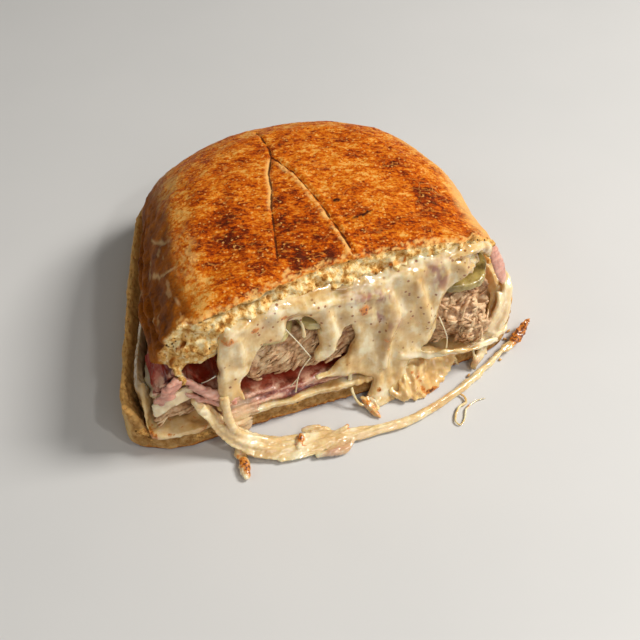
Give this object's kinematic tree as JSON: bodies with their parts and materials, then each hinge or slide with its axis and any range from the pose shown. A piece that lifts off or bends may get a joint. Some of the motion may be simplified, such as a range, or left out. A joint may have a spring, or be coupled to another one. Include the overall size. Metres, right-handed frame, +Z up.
{
  "type": "half of a pressed cuban sandwich",
  "caption": "Half of a pressed Cuban sandwich cut on the slant, with roast pork, ham, pickle slices and melted cheese that hangs down the cut and trails in front",
  "frame": {"origin": "on the ground, under the middle of the whole part's bounding box", "axes": "+X runs along the cut from the sharp corner to the blunt one, -Y points out of the cut face, +Z is up"},
  "size_m": [0.1478, 0.1362, 0.0569],
  "materials": {
    "crust": "browned crust with a slight shine",
    "crumb": "matt bread crumb with a toasted base",
    "cheese": "glossy melted cheese",
    "ham": "moist",
    "pork": "torn meat fibres",
    "pickle": "wet and slightly clear"
  },
  "bodies": {
    "root": {"lower_bread": "crumb", "upper_bread": "crust", "cheese_lower": "cheese", "ham_lower": "ham", "pork": "pork", "pork_corner": "pork", "cheese_corner": "cheese", "ham_fold": "ham", "pickle_left": "pickle", "pickle_middle": "pickle", "pickle_right": "pickle", "ham_upper": "ham", "ham_side": "ham", "cheese_upper": "cheese", "cheese_strand": "cheese"}
  },
  "joints": []
}
